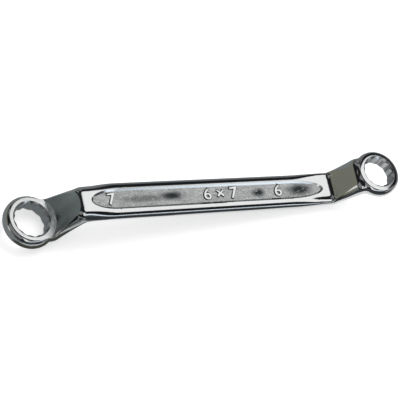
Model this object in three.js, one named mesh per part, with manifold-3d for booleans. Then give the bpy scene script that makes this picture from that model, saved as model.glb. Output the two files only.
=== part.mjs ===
// Double-ended ring spanner, 6 mm and 7 mm across flats, drop-forged in one piece.
// Millimetres, +Z up, +X along the shank towards the 6 mm ring. The spanner lies as it rests
// on a table: on the underside of the 7 mm ring and on the far end of the straight shank.
// It is drawn with both ring axes upright and the middle of the shank at the origin, and the
// group tips it into its resting place at the end.
import * as THREE from 'three';
import { mergeVertices } from 'three/addons/utils/BufferGeometryUtils.js';
import Module from 'manifold-3d';

const wasm = await Module();
wasm.setup();

// Shank, with a long panel sunk in its upper and its lower face
const shankThickness = 2.5;
const sideRound = 1;                  // width of the round side, beside the polished flat
const panelRim = 0.8;                 // polished flat left between the panel and the round side
const panelDepth = 0.35;
const panelDraft = 0.45;              // how far the sloping wall of the panel reaches in

// Necks and rings
const ringTilt = 4.3 * Math.PI / 180; // lean of both ring axes from square to the shank
const neckSlope = 63 * Math.PI / 180; // climb of the necks from the line of the shank
const outerBendRadius = 0.75;
const innerBendRadius = 1.3;
const neckRootRadius = 0.8;
const shoulderRadius = 0.6;
const rootRound = 1.9;                // width of the neck's round edge where it meets the ring
const rootTuck = 0.4;                 // the neck's root is this much narrower than the flat ring
const rootFlare = 0.6;                // but it spreads towards its outer face by this much
const waist = 0.15;                   // how much the bar draws in at its bends, on each side
const clearanceDraft = 4 * Math.PI / 180;
const largeEnd = {
  acrossFlats: 7,
  chamferLip: 0.16,                   // chamfer beyond the corners of the socket
  chamferDepth: 0.4,
  faceWidth: 0.72,                    // flat ring round the chamfer
  wallBulge: 0.86,                    // swell of the outer wall beyond the flat ring
  ringHeight: 3.5,
  ringOffset: 8.4,                    // from the line of the shank to the middle of the ring
  bendReach: 29.4,                    // from the middle of the shank to the corner of the neck
  neckReach: 3.72,                    // from the ring axis to the neck's face at the ring
  neckThickness: 2.75,
  clearance: 0.58,                    // room sunk in the neck round the flat ring
  panelWidth: 4.7,
  panelMargin: 2.8,                   // from the corner of the neck to the panel's point
  panelPoint: 6,                      // length over which the panel closes to its point
};
const smallEnd = {
  acrossFlats: 6,
  chamferLip: 0.15,
  chamferDepth: 0.35,
  faceWidth: 0.66,
  wallBulge: 0.83,
  ringHeight: 3,
  ringOffset: 6.9,
  bendReach: 30.4,
  neckReach: 3.4,
  neckThickness: 2.5,
  clearance: 0.5,
  panelWidth: 4.2,
  panelMargin: 3.3,
  panelPoint: 7.5,
};
const socketClearance = 0.1;          // added across the flats, so that the nut goes in
const forgingInset = 0.15;            // the forging lies this much under the faced ring
const overrun = 2;                    // cutters run past what they cut

// Shares, angles and counts that give the round stretches their form
const sideAngle = 76 * Math.PI / 180; // where the round side meets the flat of a section
const flankShiftShare = 0.6;          // how far the flanks cut the corner at a bend
const cornerFlatShare = 0.16;         // part of each socket side that is lost to a blunt corner
const sideSteps = 8;
const bendSteps = 5;
const neckSteps = 4;
const waistSteps = 4;
const shankSteps = 4;
const barrelSteps = 5;
const ringSteps = 60;
const pointSteps = 10;
const socketPoints = 12;

const steel = new THREE.MeshStandardMaterial({ color: 0xc9cccd, roughness: 0.12, metalness: 1 });

// Sizes that follow from the ones above
for (const end of [largeEnd, smallEnd]) {
  end.socketRadius = (end.acrossFlats + socketClearance) / 2;
  end.chamferRadius = end.socketRadius / Math.cos(Math.PI / 6) + end.chamferLip;
  end.faceRadius = end.chamferRadius + end.faceWidth;
  end.outerRadius = end.faceRadius + end.wallBulge;
  end.shankHalfWidth = end.panelWidth / 2 + panelRim + sideRound;
  end.panelTip = end.bendReach - end.panelMargin;
}

// A closed geometry as a solid
function solid(geometry) {
  const plain = geometry.clone();
  plain.deleteAttribute('normal');
  plain.deleteAttribute('uv');
  const merged = mergeVertices(plain);
  const corners = merged.index.array;
  const triangles = [];
  for (let i = 0; i < corners.length; i += 3) {
    const [a, b, c] = corners.slice(i, i + 3);
    if (a !== b && b !== c && c !== a) triangles.push(a, b, c);
  }
  return new wasm.Manifold(new wasm.Mesh({
    numProp: 3,
    vertProperties: new Float32Array(merged.attributes.position.array),
    triVerts: new Uint32Array(triangles),
  }));
}

// One closed skin over a row of outlines with as many points each. Seen from behind the first
// outline, looking on along the row, the points run anticlockwise.
function loft(outlines) {
  const count = outlines[0].length;
  const last = (outlines.length - 1) * count;
  const faces = [];
  for (let start = 0; start < last; start += count) {
    for (let i = 0; i < count; i += 1) {
      const a = start + i;
      const b = start + (i + 1) % count;
      faces.push(a, b + count, b, a, a + count, b + count);
    }
  }
  for (let i = 1; i + 1 < count; i += 1) {
    faces.push(0, i, i + 1, last, last + i + 1, last + i);
  }
  const geometry = new THREE.BufferGeometry().setFromPoints(outlines.flat());
  geometry.setIndex(faces);
  return geometry;
}

// A solid of revolution round the Z axis, from points of [radius, height] that run upwards
function turned(profile) {
  const points = profile.map(([radius, height]) => new THREE.Vector2(radius, height));
  return new THREE.LatheGeometry(points, ringSteps).rotateX(Math.PI / 2);
}

// Arc that rounds the corner of a side view
function roundedCorner(before, corner, after, radius) {
  const back = before.clone().sub(corner).normalize();
  const on = after.clone().sub(corner).normalize();
  const half = Math.acos(back.dot(on)) / 2;
  const inward = back.clone().add(on).normalize();
  const centre = corner.clone().addScaledVector(inward, radius / Math.sin(half));
  const first = corner.clone().addScaledVector(back, radius / Math.tan(half)).sub(centre);
  const final = corner.clone().addScaledVector(on, radius / Math.tan(half)).sub(centre);
  const turn = Math.atan2(first.cross(final), first.dot(final));
  return Array.from({ length: bendSteps + 1 }, (_, i) => (
    first.clone().rotateAround(new THREE.Vector2(), turn * i / bendSteps).add(centre)
  ));
}

// Side view of one end in the shank's own frame, with the ring below and to the left
function endView(end) {
  const axis = new THREE.Vector2(Math.sin(ringTilt), Math.cos(ringTilt));
  const outward = new THREE.Vector2(Math.cos(ringTilt), -Math.sin(ringTilt));
  const climb = new THREE.Vector2(Math.cos(neckSlope), Math.sin(neckSlope));
  const upperBend = new THREE.Vector2(-end.bendReach, shankThickness / 2);
  const across = end.neckThickness / Math.sin(neckSlope) - shankThickness / Math.tan(neckSlope);
  const lowerBend = new THREE.Vector2(across - end.bendReach, -shankThickness / 2);
  // The neck's face runs down from its bend and meets the ring's face at the neck's reach
  const faceHeight = end.ringHeight / 2;
  const centre = upperBend.clone();
  const drop = new THREE.Vector2(0, -end.ringOffset).sub(upperBend).addScaledVector(axis, faceHeight);
  centre.addScaledVector(climb, (drop.y + outward.y * end.neckReach) / climb.y);
  centre.addScaledVector(outward, -end.neckReach).addScaledVector(axis, -faceHeight);
  const half = faceHeight - forgingInset;
  const rootOf = (bend, side) => {
    const onFace = centre.clone().addScaledVector(axis, side * half);
    return bend.clone().addScaledVector(climb, onFace.sub(bend).dot(axis) / climb.dot(axis));
  };
  return {
    centre,
    upper: {
      start: centre.clone().addScaledVector(axis, half),
      root: rootOf(upperBend, 1),
      bend: upperBend,
      radii: [neckRootRadius, outerBendRadius],
    },
    lower: {
      start: centre.clone().addScaledVector(axis, -half),
      root: rootOf(lowerBend, -1),
      bend: lowerBend,
      radii: [shoulderRadius, innerBendRadius],
    },
  };
}

// Points along one line of the side view: ring, root, neck, bend and the start of the shank
function endLine({ start, root, bend, radii }, shankStart) {
  const rootArc = roundedCorner(start, root, bend, radii[0]);
  const bendArc = roundedCorner(root, bend, shankStart, radii[1]);
  const between = (from, to, steps) => Array.from({ length: steps - 1 }, (_, i) => (
    from.clone().lerp(to, (i + 1) / steps)
  ));
  return [
    start, ...rootArc, ...between(rootArc.at(-1), bendArc[0], neckSteps),
    ...bendArc, ...between(bendArc.at(-1), shankStart, waistSteps), shankStart,
  ];
}

// Cross-section of the forging between an upper and a lower point of the side view. The round
// sides leave the upper and the lower flat at their own rounds, and can be shifted up or down.
function section(upper, lower, halfWidth, upperRound, lowerRound, shift) {
  const middle = upper.clone().add(lower).divideScalar(2);
  const rise = upper.clone().sub(lower).divideScalar(2);
  const points = [];
  for (const side of [1, -1]) {
    for (let i = 0; i <= sideSteps; i += 1) {
      const angle = side * sideAngle * (1 - 2 * i / sideSteps);
      const inward = (1 - Math.cos(angle)) / (1 - Math.cos(sideAngle));
      const wide = side * (halfWidth - (angle > 0 ? upperRound : lowerRound) * inward);
      const high = Math.sin(angle) / Math.sin(sideAngle) + shift * (1 - inward);
      points.push(new THREE.Vector3(middle.x + rise.x * high, wide, middle.y + rise.y * high));
    }
  }
  return points;
}

// Cross-sections of one end, from the ring's axis to the start of the shank. The far end is
// the same end turned half round, so its upper line is the lower one turned over.
function endSections(end, turnedOver) {
  const view = endView(end);
  const shankStart = end.panelPoint - end.panelTip;
  const half = shankThickness / 2;
  const upper = endLine(view.upper, new THREE.Vector2(shankStart, half));
  const lower = endLine(view.lower, new THREE.Vector2(shankStart, -half));
  const bendEnd = 1 + 2 * bendSteps + neckSteps;
  const sections = upper.map((point, k) => {
    const upNeck = THREE.MathUtils.clamp((k - 1 - bendSteps) / neckSteps, 0, 1);
    const onShank = THREE.MathUtils.smoothstep(k, bendEnd, bendEnd + waistSteps);
    const rootHalf = end.faceRadius - rootTuck;
    const neckHalf = THREE.MathUtils.lerp(rootHalf, end.shankHalfWidth - waist, upNeck);
    const halfWidth = k ? neckHalf + waist * onShank : end.outerRadius - forgingInset;
    const neckRound = THREE.MathUtils.lerp(-rootFlare, sideRound, upNeck);
    const outerRound = k ? neckRound : halfWidth - rootHalf;
    const innerRound = THREE.MathUtils.lerp(rootRound, sideRound, upNeck);
    const shift = flankShiftShare * upNeck ** 2 * (1 - onShank);
    const [over, under] = [point, lower[k]].map((place) => place.clone());
    return turnedOver
      ? section(under.negate(), over.negate(), halfWidth, innerRound, outerRound, shift)
      : section(over, under, halfWidth, outerRound, innerRound, -shift);
  });
  return turnedOver ? sections.reverse() : sections;
}

// Outline of the panel, drawn in by an inset, at a height in the shank's own frame
function panelOutline(inset, height) {
  const points = [];
  for (const [end, way] of [[largeEnd, -1], [smallEnd, 1]]) {
    const start = end.panelTip - end.panelPoint;
    for (let i = 0; i <= 2 * pointSteps; i += 1) {
      const angle = (i / pointSteps - 1) * Math.PI / 2;
      const x = way * (start + (end.panelPoint - inset) * Math.cos(angle));
      const y = way * (end.panelWidth / 2 - inset) * Math.sin(angle);
      points.push(new THREE.Vector3(x, -y, height));
    }
  }
  return points;
}

// Panel cutter for the upper face, or turned over for the lower face
function panelCutter(turnedOver) {
  const top = shankThickness / 2;
  const geometry = loft([
    panelOutline(panelDraft, top - panelDepth),
    panelOutline(0, top),
    panelOutline(0, top + overrun),
  ]);
  return turnedOver ? geometry.scale(1, -1, -1) : geometry;
}

// Ring with its swelling outer wall, still solid
function ringBlank(end) {
  const half = end.ringHeight / 2;
  const wall = [];
  for (let i = -barrelSteps; i <= barrelSteps; i += 1) {
    const angle = i / barrelSteps * Math.PI / 2;
    wall.push([end.faceRadius + end.wallBulge * Math.cos(angle), half * Math.sin(angle)]);
  }
  return turned([[0, -half], ...wall, [0, half]]);
}

// Twelve-point socket, two hexagons turned by half a corner, right through the ring
function socketCutter(end) {
  const corner = end.socketRadius / Math.cos(Math.PI / 6);
  const valley = end.socketRadius / Math.cos(Math.PI / socketPoints);
  const outline = [];
  for (let i = 0; i < socketPoints; i += 1) {
    const [before, point, after] = [-1, 0, 1].map((step) => (
      new THREE.Vector2(step ? valley : corner, 0)
        .rotateAround(new THREE.Vector2(), (2 * i + step) * Math.PI / socketPoints)
    ));
    outline.push(before, point.clone().lerp(before, cornerFlatShare));
    outline.push(point.clone().lerp(after, cornerFlatShare));
  }
  const shape = new THREE.Shape(outline);
  const depth = end.ringHeight + 2 * overrun;
  return new THREE.ExtrudeGeometry(shape, { depth, bevelEnabled: false }).translate(0, 0, -depth / 2);
}

// Lead-in chamfer of the upper face, or of the lower face
function chamferCutter(end, side) {
  const face = end.ringHeight / 2;
  const geometry = turned([
    [0, face - end.chamferDepth],
    [end.socketRadius, face - end.chamferDepth],
    [end.chamferRadius, face],
    [end.chamferRadius, face + overrun],
    [0, face + overrun],
  ]);
  return side > 0 ? geometry : geometry.rotateX(Math.PI);
}

// Room above the flat face, on the side where the neck rises, for a hand or a socket wall
function clearanceCutter(end, side) {
  const face = end.ringHeight / 2;
  const radius = end.faceRadius + end.clearance;
  const rise = end.ringOffset;
  const topRadius = radius + rise * Math.tan(clearanceDraft);
  const geometry = turned([[0, face], [radius, face], [topRadius, face + rise], [0, face + rise]]);
  return side > 0 ? geometry : geometry.rotateX(Math.PI);
}

// The forging: shank and necks in one skin, tipped so that the ring axes stand upright
const shankSections = Array.from({ length: shankSteps - 1 }, (_, i) => {
  const along = (i + 1) / shankSteps;
  const from = largeEnd.panelPoint - largeEnd.panelTip;
  const to = smallEnd.panelTip - smallEnd.panelPoint;
  const x = THREE.MathUtils.lerp(from, to, along);
  const halfWidth = THREE.MathUtils.lerp(largeEnd.shankHalfWidth, smallEnd.shankHalfWidth, along);
  const half = shankThickness / 2;
  const [over, under] = [half, -half].map((z) => new THREE.Vector2(x, z));
  return section(over, under, halfWidth, sideRound, sideRound, 0);
});
const skin = loft([...endSections(largeEnd, false), ...shankSections, ...endSections(smallEnd, true)]);
const upright = new THREE.Matrix4().makeRotationY(-ringTilt);
let forging = solid(skin.applyMatrix4(upright));

for (const [end, side] of [[largeEnd, 1], [smallEnd, -1]]) {
  const middle = endView(end).centre.multiplyScalar(side);
  const place = new THREE.Vector3(middle.x, 0, middle.y).applyMatrix4(upright);
  const atRing = (geometry) => solid(geometry.translate(...place));
  forging = forging
    .subtract(atRing(clearanceCutter(end, side)))
    .add(atRing(ringBlank(end)))
    .subtract(atRing(socketCutter(end)))
    .subtract(atRing(chamferCutter(end, 1)))
    .subtract(atRing(chamferCutter(end, -1)));
}
for (const turnedOver of [false, true]) {
  forging = forging.subtract(solid(panelCutter(turnedOver).applyMatrix4(upright)));
}

const cut = forging.getMesh();
const body = new THREE.BufferGeometry();
body.setAttribute('position', new THREE.BufferAttribute(cut.vertProperties, cut.numProp));
body.setIndex(new THREE.BufferAttribute(cut.triVerts, 1));
body.computeVertexNormals();

// Tilt at which the part rests: the lowest line under it that spans its middle
function restingTilt(geometry) {
  const places = geometry.attributes.position;
  const points = Array.from({ length: places.count }, (_, i) => (
    new THREE.Vector2(places.getX(i), places.getZ(i))
  ));
  points.sort((a, b) => a.x - b.x || a.y - b.y);
  const hull = [];
  for (const point of points) {
    while (hull.length > 1) {
      const [a, b] = hull.slice(-2);
      if (b.clone().sub(a).cross(point.clone().sub(a)) > 0) break;
      hull.pop();
    }
    hull.push(point);
  }
  const next = hull.findIndex((point) => point.x > 0);
  const line = hull[next].clone().sub(hull[next - 1]);
  return Math.atan2(line.y, line.x);
}

const spanner = new THREE.Mesh(body, steel);
spanner.name = 'spanner_forging';
const group = new THREE.Group();
group.add(spanner);
group.rotation.y = restingTilt(body);
const box = new THREE.Box3().setFromObject(group, true);
const middle = box.getCenter(new THREE.Vector3());
group.position.set(-middle.x, -middle.y, -box.min.z);

export default group;
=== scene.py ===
# Double-ended ring spanner, 6 mm and 7 mm, in bright chrome.
# Shapes are worked out in millimetres with the bar level and its middle at the origin.
# At the end everything is tipped into its resting place and scaled to metres.
import math
from functools import partial

import bmesh
import bpy
import numpy as np
from mathutils import Matrix, Vector


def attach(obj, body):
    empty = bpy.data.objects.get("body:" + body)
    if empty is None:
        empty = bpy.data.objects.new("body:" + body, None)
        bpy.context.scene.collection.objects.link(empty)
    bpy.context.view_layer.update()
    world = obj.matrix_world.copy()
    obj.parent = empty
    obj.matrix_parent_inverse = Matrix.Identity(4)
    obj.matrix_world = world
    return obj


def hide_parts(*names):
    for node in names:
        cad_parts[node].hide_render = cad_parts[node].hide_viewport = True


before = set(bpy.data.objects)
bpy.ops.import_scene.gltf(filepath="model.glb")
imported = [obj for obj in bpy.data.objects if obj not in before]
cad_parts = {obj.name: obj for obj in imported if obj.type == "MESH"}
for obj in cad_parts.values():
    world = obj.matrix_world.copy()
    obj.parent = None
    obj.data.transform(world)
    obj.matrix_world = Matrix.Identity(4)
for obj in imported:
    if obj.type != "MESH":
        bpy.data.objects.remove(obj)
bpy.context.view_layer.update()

scene = bpy.context.scene

metre = 1000  # millimetres
resting = {"tilt": 8.427366, "shiftX": 0.4418, "shiftZ": 5.630545}  # degrees and millimetres

toRest = (
    Matrix.Scale(1 / metre, 4)
    @ Matrix.Translation((resting["shiftX"], 0, resting["shiftZ"]))
    @ Matrix.Rotation(math.radians(resting["tilt"]), 4, "Y")
)


def newObject(name, data):
    thing = bpy.data.objects.new(name, data)
    scene.collection.objects.link(thing)
    return thing


def plainMesh(thing, name):
    # the evaluated shape as a mesh of its own, with the modifiers used up
    shape = thing.evaluated_get(bpy.context.evaluated_depsgraph_get())
    mesh = bpy.data.meshes.new_from_object(shape)
    mesh.name = name
    return mesh


def useUp(thing):
    old = thing.data
    name = old.name
    thing.data = plainMesh(thing, name)
    thing.modifiers.clear()
    bpy.data.meshes.remove(old)
    thing.data.name = name


def discard(thing):
    mesh = thing.data
    bpy.data.objects.remove(thing)
    bpy.data.meshes.remove(mesh)


def outwards(mesh, weld=None):
    # faces turned outwards, once points closer together than weld are merged
    shape = bmesh.new()
    shape.from_mesh(mesh)
    if weld:
        bmesh.ops.remove_doubles(shape, verts=shape.verts, dist=weld)
    bmesh.ops.recalc_face_normals(shape, faces=shape.faces)
    shape.to_mesh(mesh)
    shape.free()
    return mesh


# short ways to place nodes

def nodeOf(tree, kind, **settings):
    node = tree.nodes.new(kind)
    for name, value in settings.items():
        setattr(node, name, value)
    return node


def plug(tree, value, socket):
    if isinstance(value, bpy.types.NodeSocket):
        tree.links.new(value, socket)
    else:
        socket.default_value = value


def feed(tree, node, **values):
    # sets or links the named inputs; a socket name is written with _ for each space
    for name, value in values.items():
        plug(tree, value, node.inputs[name.replace("_", " ")])
    return node


def maths(tree, operation, *values):
    node = nodeOf(tree, "ShaderNodeMath", operation=operation)
    for value, socket in zip(values, node.inputs):
        plug(tree, value, socket)
    return node.outputs[0]


def noise(tree, place, scale, detail, roughness):
    node = nodeOf(tree, "ShaderNodeTexNoise")
    return feed(tree, node, Vector=place, Scale=scale, Detail=detail, Roughness=roughness).outputs["Fac"]


def softStep(tree, value, zeroAt, oneAt, top=1.0):
    node = nodeOf(tree, "ShaderNodeMapRange", interpolation_type="SMOOTHSTEP")
    return feed(tree, node, Value=value, From_Min=zeroAt, From_Max=oneAt, To_Max=top).outputs[0]


def paintOver(tree, under, mask, tint):
    node = nodeOf(tree, "ShaderNodeMix", data_type="RGBA")      # its colours are the inputs 6 and 7
    plug(tree, mask, node.inputs[0])
    plug(tree, under if isinstance(under, bpy.types.NodeSocket) else (*under, 1), node.inputs[6])
    plug(tree, (*tint, 1), node.inputs[7])
    return node.outputs[2]


# finishes of the steel, and the colours of painted shade and painted reflections

steel = {
    "chrome": (0.79, 0.80, 0.80),
    "panel": (0.66, 0.67, 0.67),
    "bore": (0.62, 0.63, 0.64),
    "spotface": (0.58, 0.64, 0.64),
    # painted shade for the sloping sides of the raised figures
    "edge": (0.1, 0.11, 0.12),
    # painted dark reflections for the panel floor
    "darkReflection": (0.05, 0.06, 0.065),
}

# waveSize and scratchSize are texture scales, so a larger one is finer; stretch draws the scratches out along
# the bar, waves is the share of soft waves in the relief, depth is in metres, and bright and dull are the
# least and the greatest roughness
finishes = {
    "polished": {"name": "polishedChrome", "colour": steel["chrome"], "waveSize": 0.5, "scratchSize": 5.0,
                 "stretch": 6.0, "waves": 0.7, "depth": 0.00001, "strength": 0.25, "bright": 0.05, "dull": 0.09},
    "ground": {"name": "groundRingFace", "colour": steel["chrome"], "waveSize": 1.5, "scratchSize": 7.0,
               "stretch": 10.0, "waves": 0.3, "depth": 0.00001, "strength": 0.2, "bright": 0.12, "dull": 0.19},
    "cast": {"name": "castPanelFloor", "colour": steel["panel"], "waveSize": 0.35, "scratchSize": 7.0,
             "stretch": 1.0, "waves": 0.93, "depth": 0.00022, "strength": 0.6, "bright": 0.24, "dull": 0.34},
    "broached": {"name": "broachedSocket", "colour": steel["bore"], "waveSize": 3.0, "scratchSize": 8.0,
                 "stretch": 8.0, "waves": 0.3, "depth": 0.00001, "strength": 0.7, "bright": 0.26, "dull": 0.38},
    "milled": {"name": "milledMouth", "colour": steel["chrome"], "waveSize": 1.5, "scratchSize": 9.0,
               "stretch": 6.0, "waves": 0.3, "depth": 0.00001, "strength": 0.3, "bright": 0.08, "dull": 0.14},
    "sunk": {"name": "spotfacedWall", "colour": steel["spotface"], "waveSize": 1.0, "scratchSize": 6.0,
             "stretch": 8.0, "waves": 0.4, "depth": 0.00001, "strength": 0.5, "bright": 0.28, "dull": 0.38},
    # the figures' sides: dark metal that paints shade onto them
    "shadedSides": {"name": "figureSidesPaintedShade", "colour": steel["edge"], "waveSize": 1.0, "scratchSize": 9.0,
              "stretch": 1.0, "waves": 0.4, "depth": 0.00002, "strength": 0.4, "bright": 0.2, "dull": 0.3},
}

# dark patches at given places on the panel floor: painted dark reflections
darkReflectionPatches = {
    "spots": (
        # middle along and across the bar, half length, half width, darkness
        (-14.5, -0.1, 8.0, 1.1, 0.6),
        (-8.2, 0.2, 3.8, 1.3, 1.0),
        (11.8, -0.1, 2.1, 1.3, 1.0),
        (21.6, 0.1, 3.9, 1.8, 1.0),
    ),
    "rim": 1.1,          # a painted patch ends at this share of its half length
    "core": 0.2,         # and is at its darkest from here inwards
    "bareBelow": 0.26,   # noise below which it is broken up
    "wholeAbove": 0.46,  # and above which it is whole
}


def polishMarks():
    # marks of polishing and handling on plated steel: soft waves, hair scratches and dull spots
    group = bpy.data.node_groups.new("polishMarks", "ShaderNodeTree")
    face = group.interface
    face.new_socket("Place", in_out="INPUT", socket_type="NodeSocketVector")
    for name, value in (("Wave Size", 1.0), ("Scratch Size", 6.0), ("Scratch Stretch", 12.0), ("Waves", 0.5)):
        face.new_socket(name, in_out="INPUT", socket_type="NodeSocketFloat").default_value = value
    for name in ("Height", "Dull"):
        face.new_socket(name, in_out="OUTPUT", socket_type="NodeSocketFloat")
    given, result = group.nodes.new("NodeGroupInput"), group.nodes.new("NodeGroupOutput")
    place = given.outputs["Place"]
    waves = noise(group, place, given.outputs["Wave Size"], detail=2.0, roughness=0.45)
    stretch = feed(group, nodeOf(group, "ShaderNodeCombineXYZ"), X=1.0, Y=given.outputs["Scratch Stretch"], Z=1.0)
    along = nodeOf(group, "ShaderNodeVectorMath", operation="MULTIPLY")
    plug(group, place, along.inputs[0])
    plug(group, stretch.outputs[0], along.inputs[1])
    hairs = noise(group, along.outputs[0], given.outputs["Scratch Size"], detail=4.0, roughness=0.6)
    thin = feed(group, nodeOf(group, "ShaderNodeMapRange"), Value=hairs, From_Min=0.42, From_Max=0.62)
    mix = feed(group, nodeOf(group, "ShaderNodeMix", data_type="FLOAT"), Factor=given.outputs["Waves"])
    plug(group, thin.outputs[0], mix.inputs[2])     # 2 and 3 are the values that it mixes
    plug(group, waves, mix.inputs[3])
    spots = noise(group, place, scale=0.7, detail=6.0, roughness=0.65)
    dull = feed(group, nodeOf(group, "ShaderNodeMapRange"), Value=spots, From_Min=0.4, From_Max=0.75)
    feed(group, result, Height=mix.outputs[0], Dull=dull.outputs[0])
    return group


marks = polishMarks()


def metal(name, colour, waveSize, scratchSize, stretch, waves, depth, strength, bright, dull):
    # the marks lie in the level bar's frame, in millimetres
    material = bpy.data.materials.new(name)
    material.use_nodes = True
    tree = material.node_tree
    surface = tree.nodes["Principled BSDF"]
    surface.inputs["Base Color"].default_value = (*colour, 1)
    surface.inputs["Metallic"].default_value = 1.0
    back = math.radians(-resting["tilt"])
    shift = Matrix.Rotation(back, 3, "Y") @ Vector((resting["shiftX"], 0, resting["shiftZ"]))
    spot = nodeOf(tree, "ShaderNodeTexCoord")
    place = feed(tree, nodeOf(tree, "ShaderNodeMapping", name="place"), Vector=spot.outputs["Object"],
                 Location=-shift, Rotation=(0, back, 0), Scale=(metre, metre, metre))
    wear = feed(tree, nodeOf(tree, "ShaderNodeGroup", node_tree=marks), Place=place.outputs[0],
                Wave_Size=waveSize, Scratch_Size=scratchSize, Scratch_Stretch=stretch, Waves=waves)
    bump = feed(tree, nodeOf(tree, "ShaderNodeBump"), Height=wear.outputs["Height"], Strength=strength,
                Distance=depth)
    rough = feed(tree, nodeOf(tree, "ShaderNodeMapRange"), Value=wear.outputs["Dull"], To_Min=bright, To_Max=dull)
    feed(tree, surface, Normal=bump.outputs[0], Roughness=rough.outputs[0])
    return material


# paints dark patches into the panel floor's base colour, painted dark reflections broken up by noise
def darkReflection(material, clean, dark):
    tree = material.node_tree
    place = tree.nodes["place"].outputs[0]
    ragged = noise(tree, place, scale=1.1, detail=5.0, roughness=0.6)
    shown = None
    for x, y, length, width, darkness in darkReflectionPatches["spots"]:
        near = feed(tree, nodeOf(tree, "ShaderNodeMapping"), Vector=place, Location=(-x / length, -y / width, 0),
                    Scale=(1 / length, 1 / width, 0))
        away = nodeOf(tree, "ShaderNodeVectorMath", operation="LENGTH")
        plug(tree, near.outputs[0], away.inputs[0])
        spot = softStep(tree, away.outputs["Value"], darkReflectionPatches["rim"], darkReflectionPatches["core"], darkness)
        shown = spot if shown is None else maths(tree, "MAXIMUM", shown, spot)
    broken = feed(tree, nodeOf(tree, "ShaderNodeMapRange"), Value=ragged, From_Min=darkReflectionPatches["bareBelow"],
                  From_Max=darkReflectionPatches["wholeAbove"])
    tint = paintOver(tree, clean, maths(tree, "MULTIPLY", shown, broken.outputs[0]), dark)
    plug(tree, tint, tree.nodes["Principled BSDF"].inputs["Base Color"])


metals = {skin: metal(**look) for skin, look in finishes.items()}
skins = {skin: index for index, skin in enumerate(metals)}
# the cast floor gets the painted dark reflections
darkReflection(metals["cast"], steel["panel"], steel["darkReflection"])


def setSkins(mesh, index):
    mesh.materials.clear()
    for material in metals.values():
        mesh.materials.append(material)
    mesh.polygons.foreach_set("material_index", [index] * len(mesh.polygons))


print("finishes ready")


# the bar and its two ends

bar = {
    "thickness": 2.5,
    "sideRound": 1.5,        # width of the round side, beside the polished flat
    "sideAngle": 88,         # degrees at which the round side meets the flat
    "edgeSoft": 0.2,         # softness of every edge of the forging
    "ringTilt": 4.3,         # lean of the ring axes from square to the bar
    "neckSlope": 63,
    "outerBend": 2.1,
    "innerBend": 1.3,
    "neckRoot": 0.8,
    "shoulder": 1.9,
    "rootRound": 1.9,
    "rootTuck": 0.4,
    "tuck": 0.15,            # the neck ends this much inside the ring's wall
    "waist": 0.15,           # the bar draws in this much at its bends
    "flankShift": 0.6,       # share by which the flanks cut the corner at a bend
    "inset": 0.3,            # the neck's outer side meets the ring this much under its face
    "overlap": 0.1,          # and its inner side this much over it, to be spotfaced
    "panelRim": 0.3,         # polished flat between the panel and the round side
    "nutRoom": 0.05,         # on each side of the nut
}

largeRing = {
    "acrossFlats": 7.0, "chamferLip": 0.16, "chamferDepth": 0.5, "faceWidth": 0.72,
    "wallBulge": 0.86, "height": 3.5, "offset": 8.4, "bendReach": 29.4, "neckReach": 3.72,
    "neckThickness": 2.75, "clearance": 0.58, "panelWidth": 4.7, "panelMargin": 2.8,
    "panelPoint": 6.0,
}
smallRing = {
    "acrossFlats": 6.0, "chamferLip": 0.15, "chamferDepth": 0.54, "faceWidth": 0.66,
    "wallBulge": 0.83, "height": 3.0, "offset": 6.9, "bendReach": 30.4, "neckReach": 3.4,
    "neckThickness": 2.5, "clearance": 0.5, "panelWidth": 4.2, "panelMargin": 3.3,
    "panelPoint": 7.5,
}

flatToCorner = math.cos(math.pi / 6)  # width of a hexagon over its flats as a share of that over its corners

for ring in (largeRing, smallRing):
    ring["socket"] = ring["acrossFlats"] / 2 + bar["nutRoom"]
    ring["chamfer"] = ring["socket"] / flatToCorner + ring["chamferLip"]
    ring["face"] = ring["chamfer"] + ring["faceWidth"]
    ring["outer"] = ring["face"] + ring["wallBulge"]
    ring["barHalf"] = ring["panelWidth"] / 2 + bar["panelRim"] + bar["sideRound"]
    ring["panelTip"] = ring["bendReach"] - ring["panelMargin"]

# how finely each stretch or curve is divided
steps = {
    "bend": 12, "neck": 24, "waist": 20, "straight": 40, "side": 16, "outline": 120, "soften": 6,
    "round": 144, "barrel": 14, "crown": 14, "fillet": 6, "panelEnd": 48, "lip": 5,
}

ringLean = math.radians(bar["ringTilt"])
leanAxis = np.array([math.sin(ringLean), math.cos(ringLean)])


def roundedCorner(before, corner, after, radius):
    back = (before - corner) / np.linalg.norm(before - corner)
    onward = (after - corner) / np.linalg.norm(after - corner)
    half = math.acos(back @ onward) / 2
    centre = corner + (back + onward) / np.linalg.norm(back + onward) * radius / math.sin(half)
    first = corner + back * radius / math.tan(half) - centre
    last = corner + onward * radius / math.tan(half) - centre
    turn = math.atan2(first[0] * last[1] - first[1] * last[0], first @ last)
    angles = turn * np.arange(steps["bend"] + 1) / steps["bend"]
    cos, sin = np.cos(angles), np.sin(angles)
    return list(np.stack([first[0] * cos - first[1] * sin, first[0] * sin + first[1] * cos], 1) + centre)


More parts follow.
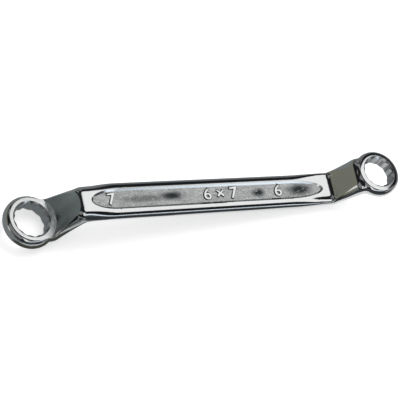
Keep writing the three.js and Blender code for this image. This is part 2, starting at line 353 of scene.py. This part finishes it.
def endView(ring):
    # side view of one end, with the ring below and to the left of the bar
    outward = np.array([leanAxis[1], -leanAxis[0]])
    slope = math.radians(bar["neckSlope"])
    climb = np.array([math.cos(slope), math.sin(slope)])
    halfBar, halfRing = bar["thickness"] / 2, ring["height"] / 2
    across = ring["neckThickness"] / math.sin(slope) - bar["thickness"] / math.tan(slope)
    upperBend = np.array([-ring["bendReach"], halfBar])
    lowerBend = np.array([across - ring["bendReach"], -halfBar])
    drop = np.array([0, -ring["offset"]]) - upperBend + leanAxis * halfRing
    centre = upperBend + climb * (drop[1] + outward[1] * ring["neckReach"]) / climb[1]
    centre = centre - outward * ring["neckReach"] - leanAxis * halfRing
    lines = []
    for side, bend, half, rootRadius, bendRadius in (
        (1, upperBend, halfRing + bar["overlap"], bar["neckRoot"], bar["outerBend"]),
        (-1, lowerBend, halfRing - bar["inset"], bar["shoulder"], bar["innerBend"]),
    ):
        start = centre + leanAxis * side * half
        root = bend + climb * ((start - bend) @ leanAxis) / (climb @ leanAxis)
        lines.append((start, root, bend, rootRadius, bendRadius))
    return centre, lines


def endLine(line, barStart):
    # ring, root, neck, bend and the start of the bar, as points of the side view
    start, root, bend, rootRadius, bendRadius = line
    rootArc = roundedCorner(start, root, bend, rootRadius)
    bendArc = roundedCorner(root, bend, barStart, bendRadius)

    def between(a, b, count):
        return [a + (b - a) * k / count for k in range(1, count)]

    neck = between(rootArc[-1], bendArc[0], steps["neck"])
    return [start, *rootArc, *neck, *bendArc, *between(bendArc[-1], barStart, steps["waist"]), barStart]


def barSection(upper, lower, halfWidth, upperRound, lowerRound, shift):
    middle, rise = (upper + lower) / 2, (upper - lower) / 2
    steep = math.radians(bar["sideAngle"])
    points = []
    for side in (1, -1):
        for k in range(steps["side"] + 1):
            angle = side * steep * (1 - 2 * k / steps["side"])
            inward = (1 - math.cos(angle)) / (1 - math.cos(steep))
            wide = side * (halfWidth - (upperRound if angle > 0 else lowerRound) * inward)
            high = math.sin(angle) / math.sin(steep) + shift * (1 - inward)
            points.append((middle[0] + rise[0] * high, wide, middle[1] + rise[1] * high))
    return points


def endSections(ring, turnedOver):
    # from the ring's axis to the start of the straight bar; the far end is turned half round
    lines = endView(ring)[1]
    start = ring["panelPoint"] - ring["panelTip"]
    upper = endLine(lines[0], np.array([start, bar["thickness"] / 2]))
    lower = endLine(lines[1], np.array([start, -bar["thickness"] / 2]))
    bendEnd = 1 + 2 * steps["bend"] + steps["neck"]
    rootHalf = ring["face"] - bar["rootTuck"]
    sections = []
    for k, (over, under) in enumerate(zip(upper, lower)):
        upNeck = min(max((k - 1 - steps["bend"]) / steps["neck"], 0), 1)
        onBar = min(max((k - bendEnd) / steps["waist"], 0), 1)
        onBar = onBar * onBar * (3 - 2 * onBar)
        neckHalf = rootHalf + (ring["barHalf"] - bar["waist"] - rootHalf) * upNeck
        halfWidth = neckHalf + bar["waist"] * onBar if k else ring["outer"] - bar["tuck"]
        outerRound = bar["sideRound"] * upNeck if k else halfWidth - rootHalf
        innerRound = bar["rootRound"] + (bar["sideRound"] - bar["rootRound"]) * upNeck
        shift = bar["flankShift"] * upNeck ** 2 * (1 - onBar)
        if turnedOver:
            sections.append(barSection(-under, -over, halfWidth, innerRound, outerRound, shift))
        else:
            sections.append(barSection(over, under, halfWidth, outerRound, innerRound, -shift))
    return sections[::-1] if turnedOver else sections


def softOutline(outline):
    # the same outline in even steps from the middle of its upper flat, with its corners softened
    loop = np.array(outline)
    start = (loop[0] + loop[-1]) / 2
    loop = np.vstack([start, loop, start])
    along = np.concatenate([[0], np.cumsum(np.linalg.norm(np.diff(loop, axis=0), axis=1))])
    count = steps["outline"]
    even = np.stack([np.interp(np.arange(count) * along[-1] / count, along, loop[:, k]) for k in range(3)], 1)
    reach = bar["edgeSoft"] * count / along[-1]
    shifts = range(-steps["soften"], steps["soften"] + 1)
    weights = np.array([math.exp(-0.5 * (k / reach) ** 2) for k in shifts])
    return sum(np.roll(even, k, 0) * weight for k, weight in zip(shifts, weights / weights.sum()))


def skinOver(name, outlines):
    # one closed skin over a row of outlines with as many points each
    count = len(outlines[0])
    faces = []
    for row in range(len(outlines) - 1):
        a, b = row * count, (row + 1) * count
        faces += [(a + i, b + i, b + (i + 1) % count, a + (i + 1) % count) for i in range(count)]
    last = (len(outlines) - 1) * count
    faces.append(tuple(range(count)))
    faces.append(tuple(range(last + count - 1, last - 1, -1)))
    mesh = bpy.data.meshes.new(name)
    mesh.from_pydata([point for outline in outlines for point in outline], [], faces)
    return outwards(mesh)


def turned(name, profile):
    # solid of revolution round the Z axis; the profile starts and ends on the axis
    count = steps["round"]
    rows = profile[1:-1]
    around = [2 * math.pi * k / count for k in range(count)]
    points = [(0, 0, profile[0][1])]
    for radius, height in rows:
        points += [(radius * math.cos(a), radius * math.sin(a), height) for a in around]
    points.append((0, 0, profile[-1][1]))
    faces = []
    for k in range(count):
        after = (k + 1) % count
        faces.append((0, 1 + after, 1 + k))
        for row in range(len(rows) - 1):
            a, b = 1 + row * count, 1 + (row + 1) * count
            faces.append((a + k, a + after, b + after, b + k))
        top = 1 + (len(rows) - 1) * count
        faces.append((top + k, top + after, len(points) - 1))
    mesh = bpy.data.meshes.new(name)
    mesh.from_pydata(points, [], faces)
    return outwards(mesh)


def ringPlace(ring, way):
    # from a ring's own frame, its axis on Z, to the level bar's frame
    centre = endView(ring)[0] * way
    return Matrix.Translation((centre[0], 0, centre[1])) @ Matrix.Rotation(ringLean, 4, "Y")


def work(thing, other, operation):
    change = thing.modifiers.new("change", "BOOLEAN")
    change.operation = operation
    change.solver = "MANIFOLD"
    change.material_mode = "INDEX"
    change.object = other
    useUp(thing)
    discard(other)


straight = []
fromX, toX = largeRing["panelPoint"] - largeRing["panelTip"], smallRing["panelTip"] - smallRing["panelPoint"]
for k in range(1, steps["straight"]):
    x = fromX + (toX - fromX) * k / steps["straight"]
    halfWidth = largeRing["barHalf"] + (smallRing["barHalf"] - largeRing["barHalf"]) * k / steps["straight"]
    over, under = np.array([x, bar["thickness"] / 2]), np.array([x, -bar["thickness"] / 2])
    straight.append(barSection(over, under, halfWidth, bar["sideRound"], bar["sideRound"], 0))

outlines = endSections(largeRing, False) + straight + endSections(smallRing, True)
spanner = newObject("spanner", skinOver("spanner", [softOutline(outline) for outline in outlines]))

# the spare height is ground off the faces later; straight is the share of the wall that is upright
blank = {"spare": 0.12, "straight": 0.07, "voxel": 0.15, "smoothing": 8, "smoothFactor": 0.5}

for ring, way in ((largeRing, 1), (smallRing, -1)):
    face = ring["height"] / 2
    half = face + blank["spare"]
    upright = face * blank["straight"]
    shoulder = half - upright
    atFace = math.sqrt(1 - ((face - upright) / shoulder) ** 2)
    bulge = ring["wallBulge"] / (1 - atFace)     # so that the wall crosses the face at the face's edge
    foot = ring["outer"] - bulge
    rise = [math.pi / 2 * k / steps["barrel"] for k in range(steps["barrel"] + 1)]
    wall = [(foot + bulge * math.cos(angle), upright + shoulder * math.sin(angle)) for angle in rise]
    wall = [(radius, -height) for radius, height in reversed(wall)] + wall
    blankRing = newObject("blankRing", turned("blankRing", [(0, -half), *wall, (0, half)]))
    blankRing.data.transform(ringPlace(ring, way))
    work(spanner, blankRing, "UNION")

remesh = spanner.modifiers.new("remesh", "REMESH")
remesh.mode = "VOXEL"
remesh.voxel_size = blank["voxel"]
relax = spanner.modifiers.new("relax", "SMOOTH")
relax.factor = blank["smoothFactor"]
relax.iterations = blank["smoothing"]
useUp(spanner)
setSkins(spanner.data, skins["polished"])
print("forging blank:", len(spanner.data.polygons), "faces")


# what is ground, broached and pressed into the blank

cuts = {
    "overrun": 2.0,           # how far the socket and panel tools reach past the metal
    "beyond": 1.0,            # and the tool for the crowned face
    "mouthProud": 0.3,        # the mouth's cone starts this far over the face
    "clearanceDraft": 14,     # degrees
    "clearanceFillet": 0.06,
    "crown": 3.3,             # radius by which the face away from the bar is rounded
    "crownSweep": 30,         # degrees
    "points": 12,
    "cornerFlat": 0.16,       # share of a socket side lost to its blunt corner
    "weld": 0.001,            # points of the star nearer than this are one
    "panelDepth": 0.35,
    "panelDraft": 0.45,
    "panelLip": 0.08,
    "panelFillet": 0.12,
    "panelProud": 0.002,      # the lip starts this far over the flat
    "floorBand": 0.02,        # what lies this near the floor has the cast finish
}


def socketStar():
    # bar with twelve blunt points that cuts the socket
    tree = bpy.data.node_groups.new("socketStar", "GeometryNodeTree")
    sizes = (("Across Flats", "NodeSocketFloat"), ("Points", "NodeSocketInt"), ("Depth", "NodeSocketFloat"),
             ("Corner Flat", "NodeSocketFloat"), ("Metal", "NodeSocketMaterial"))
    for name, kind in sizes:
        tree.interface.new_socket(name, in_out="INPUT", socket_type=kind)
    tree.interface.new_socket("Geometry", in_out="OUTPUT", socket_type="NodeSocketGeometry")
    nodes, link = tree.nodes, tree.links.new
    given, result = nodes.new("NodeGroupInput"), nodes.new("NodeGroupOutput")
    plus, minus, times, over = (partial(maths, tree, kind) for kind in ("ADD", "SUBTRACT", "MULTIPLY", "DIVIDE"))

    points, blunt = given.outputs["Points"], given.outputs["Corner Flat"]
    half = times(given.outputs["Across Flats"], 0.5)
    halfStep = over(math.pi, points)
    corner = over(half, flatToCorner)
    valley = over(half, maths(tree, "COSINE", halfStep))

    outline = nodeOf(tree, "GeometryNodeMeshCircle", fill_type="NGON")     # a valley and a blunt corner per point
    link(times(points, 3), outline.inputs["Vertices"])
    order = nodes.new("GeometryNodeInputIndex").outputs[0]
    tooth = maths(tree, "FLOOR", over(order, 3))
    place = maths(tree, "MODULO", order, 3)                                # 0 valley, 1 and 2 the blunt corner
    isValley = maths(tree, "LESS_THAN", place, 0.5)
    isCorner = minus(1, isValley)
    sign = minus(times(maths(tree, "GREATER_THAN", place, 1.5), 2), 1)
    angle = times(halfStep, minus(times(tooth, 2), isValley))
    cornerX = plus(times(corner, minus(1, blunt)), times(half, blunt))
    cornerY = times(times(valley, maths(tree, "SINE", halfStep)), blunt)
    local = nodes.new("ShaderNodeCombineXYZ")
    link(plus(times(cornerX, isCorner), times(valley, isValley)), local.inputs["X"])
    link(times(times(cornerY, sign), isCorner), local.inputs["Y"])
    turn = nodeOf(tree, "ShaderNodeVectorRotate", rotation_type="Z_AXIS")
    link(local.outputs[0], turn.inputs["Vector"])
    link(angle, turn.inputs["Angle"])
    star = nodes.new("GeometryNodeSetPosition")
    link(outline.outputs["Mesh"], star.inputs["Geometry"])
    link(turn.outputs[0], star.inputs["Position"])

    rise = nodes.new("ShaderNodeCombineXYZ")
    link(given.outputs["Depth"], rise.inputs["Z"])
    sides = nodes.new("GeometryNodeExtrudeMesh")
    sides.inputs["Individual"].default_value = False
    link(star.outputs["Geometry"], sides.inputs["Mesh"])
    link(rise.outputs[0], sides.inputs["Offset"])
    under = nodes.new("GeometryNodeFlipFaces")
    link(star.outputs["Geometry"], under.inputs["Mesh"])
    joined = nodes.new("GeometryNodeJoinGeometry")
    link(under.outputs["Mesh"], joined.inputs["Geometry"])
    link(sides.outputs["Mesh"], joined.inputs["Geometry"])
    closed = nodes.new("GeometryNodeMergeByDistance")
    closed.inputs["Distance"].default_value = cuts["weld"]
    link(joined.outputs["Geometry"], closed.inputs["Geometry"])
    real = nodes.new("GeometryNodeRealizeInstances")
    link(closed.outputs["Geometry"], real.inputs["Geometry"])
    dressed = nodes.new("GeometryNodeSetMaterial")
    link(real.outputs["Geometry"], dressed.inputs["Geometry"])
    link(given.outputs["Metal"], dressed.inputs["Material"])
    link(dressed.outputs["Geometry"], result.inputs["Geometry"])
    return tree


starTree = socketStar()


def socketCutter(ring):
    cutter = newObject("socketCutter", bpy.data.meshes.new("socketCutter"))
    star = cutter.modifiers.new("star", "NODES")
    star.node_group = starTree
    depth = ring["height"] + 2 * cuts["overrun"]
    sizes = {"Across Flats": 2 * ring["socket"], "Points": cuts["points"], "Depth": depth,
             "Corner Flat": cuts["cornerFlat"], "Metal": metals["broached"]}
    for item in starTree.interface.items_tree:
        if item.in_out == "INPUT":
            star[item.identifier] = sizes[item.name]
    useUp(cutter)
    cutter.data.transform(Matrix.Translation((0, 0, -depth / 2)))
    outwards(cutter.data)
    setSkins(cutter.data, skins["broached"])
    return cutter


def cutterOf(name, profile, skin, side):
    mesh = turned(name, profile)
    if side < 0:
        mesh.transform(Matrix.Rotation(math.pi, 4, "X"))
    setSkins(mesh, skin)
    return newObject(name, mesh)


def arc(centre, radius, fromAngle, toAngle, count):
    angles = [math.radians(fromAngle + (toAngle - fromAngle) * k / count) for k in range(count + 1)]
    return [(centre[0] + radius * math.cos(a), centre[1] + radius * math.sin(a)) for a in angles]


def cutRing(ring, way):
    # way is 1 where the bar lies above the ring and -1 where it lies below
    face, place = ring["height"] / 2, ringPlace(ring, way)
    fillet, room = cuts["clearanceFillet"], ring["face"] + ring["clearance"]
    top = face + ring["offset"]
    draft = math.tan(math.radians(cuts["clearanceDraft"]))
    clearance = cutterOf("clearance", [
        (0, face), *arc((room - fillet, face + fillet), fillet, -90, -cuts["clearanceDraft"], steps["fillet"]),
        (room + ring["offset"] * draft, top), (0, top),
    ], skins["ground"], way)
    for side in clearance.data.polygons:
        if abs(side.center.z) > face + fillet / 2:
            side.material_index = skins["sunk"]
    crown = arc((ring["chamfer"], face - cuts["crown"]), cuts["crown"], 90, 90 - cuts["crownSweep"], steps["crown"])
    outside, above = ring["outer"] + cuts["beyond"], face + cuts["beyond"]
    roundFace = cutterOf("roundFace", [
        (0, face), *crown, (outside, crown[-1][1]), (outside, above), (0, above),
    ], skins["polished"], -way)
    tools = [clearance, roundFace, socketCutter(ring)]
    cone = (ring["chamfer"] - ring["socket"]) / ring["chamferDepth"]
    deep, proud = face - ring["chamferDepth"], cuts["mouthProud"]
    for side in (1, -1):
        tools.append(cutterOf("mouth", [
            (0, deep), (ring["socket"], deep), (ring["chamfer"] + cone * proud, face + proud), (0, face + proud),
        ], skins["milled"], side))
    for tool in tools:
        tool.data.transform(place)
        work(spanner, tool, "DIFFERENCE")


def panelOutline(inset, height):
    count = steps["panelEnd"]
    points = []
    for ring, way in ((largeRing, -1), (smallRing, 1)):
        start = ring["panelTip"] - ring["panelPoint"]
        for k in range(count + 1):
            angle = (2 * k / count - 1) * math.pi / 2
            x = way * (start + (ring["panelPoint"] - inset) * math.cos(angle))
            points.append((x, -way * (ring["panelWidth"] / 2 - inset) * math.sin(angle), height))
    return points


def cutPanel(side):
    # over the lip, down the slope and round the fillet to the floor
    top, depth = bar["thickness"] / 2, cuts["panelDepth"]
    lip, fillet = cuts["panelLip"], cuts["panelFillet"]
    slope = math.atan(depth / cuts["panelDraft"])
    run = (depth - (lip + fillet) * (1 - math.cos(slope))) / math.tan(slope)
    foot = run + (lip + fillet) * math.sin(slope)
    turns = [slope * k / steps["lip"] for k in range(steps["lip"] + 1)]
    rows = [(lip * math.sin(a), top + cuts["panelProud"] - lip * (1 - math.cos(a))) for a in turns]
    rows += [(foot - fillet * math.sin(a), top - depth + fillet * (1 - math.cos(a))) for a in reversed(turns)]
    rows = [(rows[0][0], top + cuts["overrun"]), *rows]
    mesh = skinOver("panel", [panelOutline(inset, height) for inset, height in rows])
    setSkins(mesh, skins["polished"])
    for face in mesh.polygons:
        if all(mesh.vertices[k].co.z < top - depth + cuts["floorBand"] for k in face.vertices):
            face.material_index = skins["cast"]
    if side < 0:
        mesh.transform(Matrix.Rotation(math.pi, 4, "X"))
    work(spanner, newObject("panel", mesh), "DIFFERENCE")


cutRing(largeRing, 1)
cutRing(smallRing, -1)
cutPanel(1)
cutPanel(-1)
print("rings and panels cut:", len(spanner.data.polygons), "faces")


# raised size figures on the panel floors

figures = {
    "words": (("7", -22.1), ("6 × 7", 2.9), ("6", 16.4)),  # and where their middles are along the bar
    "height": 2.7,
    "fontSize": 1.37,      # for each millimetre of height
    "rise": 0.29,
    "sink": 0.1,           # depth of their foot in the floor
    "bevel": 0.18,
    "bevelSteps": 2,
    "curveSteps": 6,
    "bold": -0.02,
    "weld": 0.0005,
    "topLimit": 0.93,      # a face that leans more than this gets the painted shade of the figures' sides
}

panelFloor = bar["thickness"] / 2 - cuts["panelDepth"]
for side in (1, -1):
    for word, x in figures["words"]:
        text = bpy.data.curves.new("figure", "FONT")
        text.body = word
        text.size = figures["height"] * figures["fontSize"]
        text.align_x = text.align_y = "CENTER"
        text.offset = figures["bold"]
        text.extrude = (figures["rise"] + figures["sink"]) / 2 - figures["bevel"]
        text.bevel_depth = figures["bevel"]
        text.bevel_resolution = figures["bevelSteps"]
        text.resolution_u = figures["curveSteps"]
        letters = newObject("figure", text)
        mesh = plainMesh(letters, "figure")
        bpy.data.objects.remove(letters)
        mesh.transform(Matrix.Translation((x, 0, panelFloor + (figures["rise"] - figures["sink"]) / 2)))
        if side < 0:
            mesh.transform(Matrix.Rotation(math.pi, 4, "X"))
        outwards(mesh, figures["weld"])
        setSkins(mesh, skins["polished"])
        # the sloping sides of the figures get a dark colour, painted shade that draws their outlines
        for part in mesh.polygons:
            if abs(part.normal.z) < figures["topLimit"]:
                part.material_index = skins["shadedSides"]
        work(spanner, newObject("figure", mesh), "UNION")
print("size figures raised:", len(spanner.data.polygons), "faces")


# edges, normals and the resting place

shading = {
    "weld": 0.0005,
    "betweenFinishes": 5,    # degrees up to which two faces shade as one
    "onCuts": 14,            # the same within a cut face
    "onForging": 40,         # and within the forged skin
    "evenWeight": 50,        # how much the larger faces pull the normals
}


def crispEdges(mesh):
    # a cut face keeps its sharp border, and the forged skin stays smooth all over
    cutSkins = [skins[name] for name in ("broached", "ground", "milled", "sunk")]
    shape = bmesh.new()
    shape.from_mesh(mesh)
    bmesh.ops.dissolve_degenerate(shape, edges=shape.edges, dist=shading["weld"])
    for edge in shape.edges:
        edge.smooth = True
        if len(edge.link_faces) == 2:
            one, other = (face.material_index for face in edge.link_faces)
            if one != other:
                limit = shading["betweenFinishes"]
            else:
                limit = shading["onCuts"] if one in cutSkins else shading["onForging"]
            edge.smooth = math.degrees(edge.calc_face_angle(0)) < limit
    for face in shape.faces:
        face.smooth = True
    shape.to_mesh(mesh)
    shape.free()


crispEdges(spanner.data)
even = spanner.modifiers.new("even", "WEIGHTED_NORMAL")
even.keep_sharp = True
even.weight = shading["evenWeight"]
useUp(spanner)
spanner.data.transform(toRest)
print("spanner:", sum(len(face.vertices) - 2 for face in spanner.data.polygons), "triangles")

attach(spanner, "root")
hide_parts("spanner_forging")


# floor, studio and camera

studio = {
    "floor": 3.0,              # metres, as all lengths of the studio
    "floorColour": (0.8, 0.8, 0.8, 1),
    "cameraLift": 0.45,        # how much whiter the camera sees the floor
    "skyColour": (1, 1, 1, 1),
    "skyLevel": 0.75,
    "keyPower": 4.5,
    "keySize": 0.6,
    "keyAway": 0.9,
    "keyAzimuth": 40,
    "keyElevation": 55,
    "tent": 0.75,
    "tentSides": 64,
    "tentRows": 32,
    "groundDrop": 0.0002,      # the glowing sheet of painted floor reflection lies this far under the floor
}


def directionOf(azimuth, elevation):
    az, el = math.radians(azimuth), math.radians(elevation)
    return Vector((math.cos(az) * math.cos(el), math.sin(az) * math.cos(el), math.sin(el)))


def seenOf(tree):
    # 1 for what the camera sees, directly, in gloss or through glass
    ray = nodeOf(tree, "ShaderNodeLightPath")
    seen = ray.outputs["Is Camera Ray"]
    for kind in ("Is Glossy Ray", "Is Transmission Ray"):
        seen = maths(tree, "MAXIMUM", seen, ray.outputs[kind])
    return seen


def bareMaterial(name):
    # a material with nothing in it but its output
    material = bpy.data.materials.new(name)
    material.use_nodes = True
    material.node_tree.nodes.remove(material.node_tree.nodes["Principled BSDF"])
    return material


half = studio["floor"] / 2
floorMesh = bpy.data.meshes.new("floor")
floorMesh.from_pydata([(-half, -half, 0), (half, -half, 0), (half, half, 0), (-half, half, 0)], [], [(0, 1, 2, 3)])
floorSheet = newObject("floor", floorMesh)
floorSheet.visible_glossy = False
paper = bareMaterial("whitePaper")
tree = paper.node_tree
matt = feed(tree, nodeOf(tree, "ShaderNodeBsdfDiffuse"), Color=studio["floorColour"])
lift = nodeOf(tree, "ShaderNodeEmission")
plug(tree, maths(tree, "MULTIPLY", seenOf(tree), studio["cameraLift"]), lift.inputs["Strength"])
both = nodeOf(tree, "ShaderNodeAddShader")
plug(tree, matt.outputs[0], both.inputs[0])
plug(tree, lift.outputs[0], both.inputs[1])
plug(tree, both.outputs[0], tree.nodes["Material Output"].inputs["Surface"])
floorMesh.materials.append(paper)

world = bpy.data.worlds.new("studio")
scene.world = world
world.use_nodes = True
tree = world.node_tree
level = feed(tree, nodeOf(tree, "ShaderNodeMapRange"), Value=seenOf(tree), To_Min=studio["skyLevel"], To_Max=1.0)
feed(tree, tree.nodes["Background"], Color=studio["skyColour"], Strength=level.outputs[0])

# what the chrome reflects is painted: a sphere that glows dark with painted bright panels in it, and a glowing
# sheet under the floor, both seen only in gloss
tentPaint = {
    "paintedGlow": (0.012, 0.013, 0.015),
    "panels": (
        # azimuth, elevation, roll, width, height, softness, colour
        (336, 16, 0, 48, 40, 0.06, (0.5, 0.51, 0.53)),            # dim panels all round, for the other sides
        (28, 10, 0, 40, 26, 0.06, (0.1, 0.105, 0.11)),
        (84, 32, 0, 26, 30, 0.06, (0.2, 0.205, 0.21)),
        (119, 42, 0, 16, 32, 0.06, (0.25, 0.255, 0.26)),
        (208, 42, 0, 60, 42, 0.06, (0.22, 0.225, 0.23)),
        (276, 28, 0, 14, 36, 0.06, (0.35, 0.36, 0.37)),
        (17, 60, 85, 43, 36, 0.03, (1.0, 1.0, 1.0)),              # big soft panel overhead
        (-56, 17, 0, 80, 20, 0.06, (0.065, 0.07, 0.075)),         # wall in front
        (-56, 29, 0, 70, 8, 0.03, (1.0, 1.1, 1.2)),               # and the long window over it
        (158, 5, 0, 110, 24, 0.08, (0.15, 0.155, 0.125)),         # warm wall on the left
        (158, 8, 0, 110, 14, 0.1, (0.2, 0.2, 0.155)),             # and the lighter band along it
        (56, 38, 0, 20, 20, 0.03, (0.012, 0.013, 0.015)),         # painted shade over the wall behind
        (66, 3, 0, 80, 26, 0.1, (0.14, 0.15, 0.155)),             # wall behind
        (184, 2, 0, 15, 14, 0.03, (0.95, 0.95, 0.92)),            # door in the left wall
        (262, 36, 0, 13, 34, 0.03, (0.9, 0.9, 0.88)),             # narrow panel in front on the left
    ),
    "leastDepth": 0.001,                                          # keeps what lies behind out of a panel
}
# the floor as the chrome sees it, painted: grey for the floor in the spanner's shade, with painted shadows and pale
# strips
groundPaint = {
    "paintedGlow": (0.2, 0.215, 0.22),
    "patches": (
        # left, right, near, far edge in millimetres, softness, colour
        (-26, 700, -700, -14, 5, (0.04, 0.045, 0.05)),            # in front of the bar, further off
        (-26, 60, -12, -2, 3, (0.8, 0.8, 0.8)),                   # pale strip under the front edge
        (-75, -36, -70, -20, 4, (0.03, 0.035, 0.035)),            # painted shade in front of the large ring
        (-46, -24, -19, -11.5, 2, (0.5, 0.52, 0.53)),             # pale strip between it and the ring
        (-46, -24, -10.5, -5, 2, (0.06, 0.06, 0.05)),             # painted shadow close to the ring
    ),
}


def paintTent(tree, place):
    sight = nodeOf(tree, "ShaderNodeVectorMath", operation="NORMALIZE")
    plug(tree, place, sight.inputs[0])

    def along(axis):
        node = nodeOf(tree, "ShaderNodeVectorMath", operation="DOT_PRODUCT")
        plug(tree, sight.outputs[0], node.inputs[0])
        plug(tree, axis, node.inputs[1])
        return node.outputs["Value"]

    colour = tentPaint["paintedGlow"]
    for azimuth, elevation, roll, width, height, softness, tint in tentPaint["panels"]:
        ahead = directionOf(azimuth, elevation)
        level = Vector((0, 0, 1)).cross(ahead).normalized()
        across = Matrix.Rotation(math.radians(roll), 3, ahead) @ level
        depth = maths(tree, "MAXIMUM", along(ahead), tentPaint["leastDepth"])
        masks = []
        for axis, size in ((across, width), (ahead.cross(across), height)):
            edge = math.tan(math.radians(size / 2))
            offset = maths(tree, "ABSOLUTE", maths(tree, "DIVIDE", along(axis), depth))
            masks.append(softStep(tree, offset, edge + softness, edge - softness))
        colour = paintOver(tree, colour, maths(tree, "MULTIPLY", *masks), tint)
    return colour


def paintGround(tree, place):
    where = nodeOf(tree, "ShaderNodeSeparateXYZ")
    plug(tree, place, where.inputs[0])
    colour = groundPaint["paintedGlow"]
    for left, right, near, far, softness, tint in groundPaint["patches"]:
        soft = softness / 2 / metre
        masks = []
        for axis, low, high in (("X", left, right), ("Y", near, far)):
            middle, reach = (low + high) / 2 / metre, (high - low) / 2 / metre
            offset = maths(tree, "ABSOLUTE", maths(tree, "SUBTRACT", where.outputs[axis], middle))
            masks.append(softStep(tree, offset, reach + soft, reach - soft))
        colour = paintOver(tree, colour, maths(tree, "MULTIPLY", *masks), tint)
    return colour


def glowing(name, paint):
    # a sheet that glows in the colours that paint gives it, no lamp but a painted reflection
    paintedGlow = bareMaterial(name)
    tree = paintedGlow.node_tree
    spot = nodeOf(tree, "ShaderNodeTexCoord")
    glow = feed(tree, nodeOf(tree, "ShaderNodeEmission"), Color=paint(tree, spot.outputs["Object"]))
    plug(tree, glow.outputs[0], tree.nodes["Material Output"].inputs["Surface"])
    return paintedGlow


def seenInGlossOnly(thing):
    thing.visible_camera = False
    thing.visible_diffuse = False
    thing.visible_shadow = False
    thing.visible_transmission = False
    thing.visible_volume_scatter = False


# a glowing sphere round the spanner: painted reflections, seen only in gloss
tentShape = bmesh.new()
bmesh.ops.create_uvsphere(
    tentShape, u_segments=studio["tentSides"], v_segments=studio["tentRows"], radius=studio["tent"]
)
tentMesh = bpy.data.meshes.new("tent")
tentShape.to_mesh(tentMesh)
tentShape.free()
tentMesh.materials.append(glowing("paintedTentReflection", paintTent))
seenInGlossOnly(newObject("tent", tentMesh))

# a glowing sheet just under the floor: painted floor reflection, seen only in gloss
groundMesh = floorMesh.copy()
groundMesh.name = "paintedFloorReflection"
groundMesh.transform(Matrix.Translation((0, 0, -studio["groundDrop"])))
groundMesh.materials.clear()
groundMesh.materials.append(glowing("paintedFloorReflection", paintGround))
seenInGlossOnly(newObject("paintedFloorReflection", groundMesh))

keyLamp = bpy.data.lights.new("keyLamp", "AREA")
keyLamp.shape = "SQUARE"
keyLamp.size = studio["keySize"]
keyLamp.energy = studio["keyPower"]
key = newObject("keyLamp", keyLamp)
key.visible_glossy = False
towardsKey = directionOf(studio["keyAzimuth"], studio["keyElevation"])
key.location = towardsKey * studio["keyAway"]
key.rotation_euler = (-towardsKey).to_track_quat("-Z", "Y").to_euler()

camera = {
    "place": (-230.06, -216.59, 476.78),      # in the level bar's frame, in millimetres
    "ahead": (0.4000, 0.3780, -0.8349),
    "upward": (0.0488, 0.9009, 0.4313),
    "lens": 242.4,
    "sensor": 36,
    "nearest": 0.01,                          # metres
}
lens = bpy.data.cameras.new("camera")
lens.lens = camera["lens"]
lens.sensor_width = camera["sensor"]
lens.clip_start = camera["nearest"]
eye = newObject("camera", lens)
turn = toRest.to_3x3().normalized()
ahead, upward = turn @ Vector(camera["ahead"]), turn @ Vector(camera["upward"])
right = ahead.cross(upward).normalized()
upward = right.cross(ahead).normalized()
facing = Matrix((right, upward, -ahead.normalized())).transposed().to_4x4()
eye.matrix_world = Matrix.Translation(toRest @ Vector(camera["place"])) @ facing
scene.camera = eye
scene.view_settings.view_transform = "Standard"
print("studio ready")
